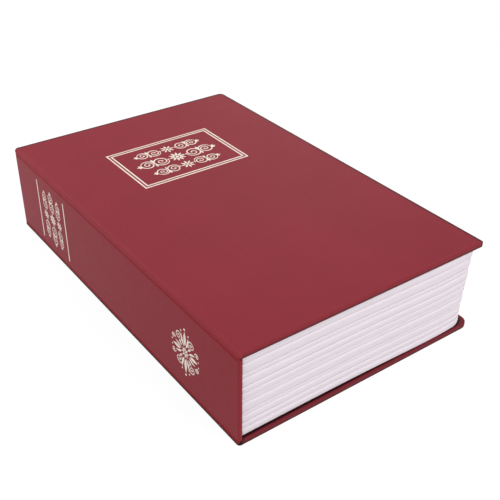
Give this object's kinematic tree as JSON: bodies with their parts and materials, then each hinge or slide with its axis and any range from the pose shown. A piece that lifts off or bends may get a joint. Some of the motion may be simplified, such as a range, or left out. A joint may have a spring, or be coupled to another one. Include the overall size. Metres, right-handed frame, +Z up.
{
  "type": "book diversion safe",
  "caption": "Steel cash box with a key-locking hinged lid, hidden inside a moulded page block and a cloth-bound hardback case.",
  "frame": {"origin": "centre of the box that the closed book fills, on the surface it lies on", "axes": "+X from the spine to the fore edge, +Y from the tail to the head of the book, +Z up out of the front cover"},
  "size_m": [0.155, 0.24, 0.055],
  "materials": {
    "leatherette": "fine matt grain",
    "greyboard": "pressed grey board",
    "endpaper": "laid paper",
    "page_plastic": "moulded, satin",
    "black_steel": "powder coat",
    "zinc_steel": "zinc plated",
    "lock_chrome": "polished",
    "foil": "pale hot foil"
  },
  "bodies": {
    "case": {"back_wrap": "leatherette", "back_board": "greyboard", "back_lining": "endpaper", "spine_wrap": "leatherette", "spine_board": "greyboard", "spine_lining": "endpaper", "page_frame": "page_plastic", "cash_tray": "black_steel", "lock_strike": "black_steel", "hinge_pin": "zinc_steel"},
    "front_cover": {"front_wrap": "leatherette", "front_board": "greyboard", "front_lining": "endpaper"},
    "lid": {"lid_panel": "black_steel", "lock_body": "lock_chrome", "lock_washer": "zinc_steel", "lock_nut": "zinc_steel"},
    "lock_plug": {"lock_plug": "lock_chrome", "lock_cam": "zinc_steel", "cam_washer": "zinc_steel", "cam_screw": "zinc_steel"}
  },
  "joints": [
    {"name": "cover_hinge", "type": "hinge", "parent": "case", "child": "front_cover", "pos_m": [-0.0775, 0, 0.0533], "axis": [0, -1, 0], "range_deg": [0, 198]},
    {"name": "lid_hinge", "type": "hinge", "parent": "case", "child": "lid", "pos_m": [-0.0622, 0, 0.0466], "axis": [0, -1, 0], "range_deg": [0, 99]},
    {"name": "plug_turn", "type": "hinge", "parent": "lid", "child": "lock_plug", "pos_m": [0.042, 0, 0.048], "axis": [0, 0, 1], "range_deg": [0, 90]}
  ],
  "couplings": [
    {"joint": "lid_hinge", "follows": "cover_hinge", "ratio": 0.5}
  ]
}
